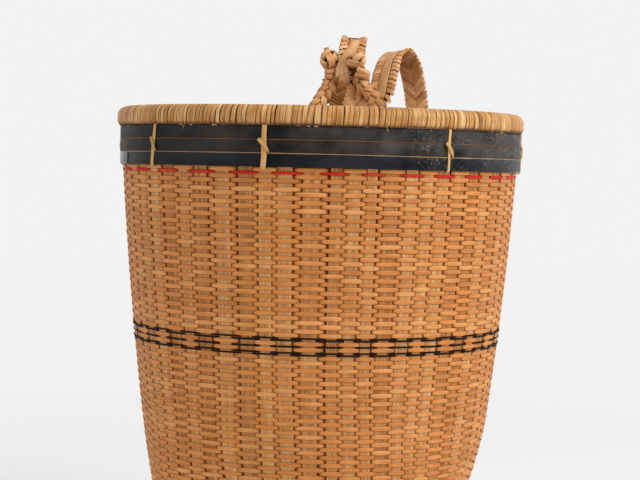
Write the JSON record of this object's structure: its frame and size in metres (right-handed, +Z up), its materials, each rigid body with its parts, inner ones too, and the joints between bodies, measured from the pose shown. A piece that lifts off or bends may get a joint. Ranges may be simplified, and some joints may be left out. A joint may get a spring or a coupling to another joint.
{
  "type": "back basket",
  "caption": "Tall plaited cane back basket with a round wrapped mouth, a square foot, black hoops under the rim, a dark woven stripe and stiff plaited carrying straps at the back.",
  "frame": {"origin": "middle of the underside, on the surface that the basket stands on", "axes": "+Z up to the mouth, +Y to the back where the straps are, +X to the wearer's right"},
  "size_m": [0.4, 0.5249, 0.5484],
  "materials": {
    "woven_cane": "split cane, satin, warm orange tan",
    "pale_cane": "peeled cane, satin, pale straw",
    "hoop_cane": "split cane, plain brown",
    "black_lacquer": "black lacquer, worn satin gloss",
    "red_cane": "cane dyed red",
    "black_cane": "cane dyed black",
    "strap_cane": "plaited cane, satin",
    "strap_strip": "flat peeled cane, satin"
  },
  "bodies": {
    "basket": {"body_weave": "woven_cane", "base_mat": "woven_cane", "foot_wrap": "pale_cane", "foot_hoop": "hoop_cane", "rim_wrap": "pale_cane", "rim_hoop_outer": "hoop_cane", "rim_hoop_inner": "hoop_cane", "black_hoop_lower": "black_lacquer", "black_hoop_middle": "black_lacquer", "black_hoop_upper": "black_lacquer", "inner_band": "hoop_cane", "lashing_1": "pale_cane", "lashing_2": "pale_cane", "lashing_3": "pale_cane", "lashing_4": "pale_cane", "lashing_5": "pale_cane", "lashing_6": "pale_cane", "lashing_7": "pale_cane", "lashing_8": "pale_cane", "weft_red": "red_cane", "weft_black_1": "black_cane", "weft_black_2": "black_cane", "weft_black_3": "black_cane", "weft_black_4": "black_cane", "weft_black_5": "black_cane", "left_leaf": "strap_cane", "left_knob": "strap_cane", "left_flat_knot": "strap_cane", "left_knob_collar": "strap_cane", "left_flat_collar": "strap_cane", "left_knob_braid": "strap_cane", "left_flat_braid": "strap_cane", "left_eye": "strap_cane", "right_leaf": "strap_cane", "right_knob": "strap_cane", "right_flat_knot": "strap_cane", "right_knob_collar": "strap_cane", "right_flat_collar": "strap_cane", "right_knob_braid": "strap_cane", "right_flat_braid": "strap_cane", "right_eye": "strap_cane"},
    "left_strap": {"left_strap_plait": "strap_cane", "left_strap_strip": "strap_strip", "left_tail": "strap_cane", "left_tail_knot": "strap_cane"},
    "right_strap": {"right_strap_plait": "strap_cane", "right_strap_strip": "strap_strip", "right_tail": "strap_cane", "right_tail_knot": "strap_cane"}
  },
  "joints": [
    {"name": "left_strap_swing", "type": "hinge", "parent": "basket", "child": "left_strap", "pos_m": [-0.06435, 0.16385, 0.1], "axis": [0.1115, 0.1136, 0.9873], "range_deg": [-4, 60]},
    {"name": "right_strap_swing", "type": "hinge", "parent": "basket", "child": "right_strap", "pos_m": [0.06435, 0.16385, 0.1], "axis": [0.1377, -0.1714, -0.9755], "range_deg": [-12, 60]}
  ]
}
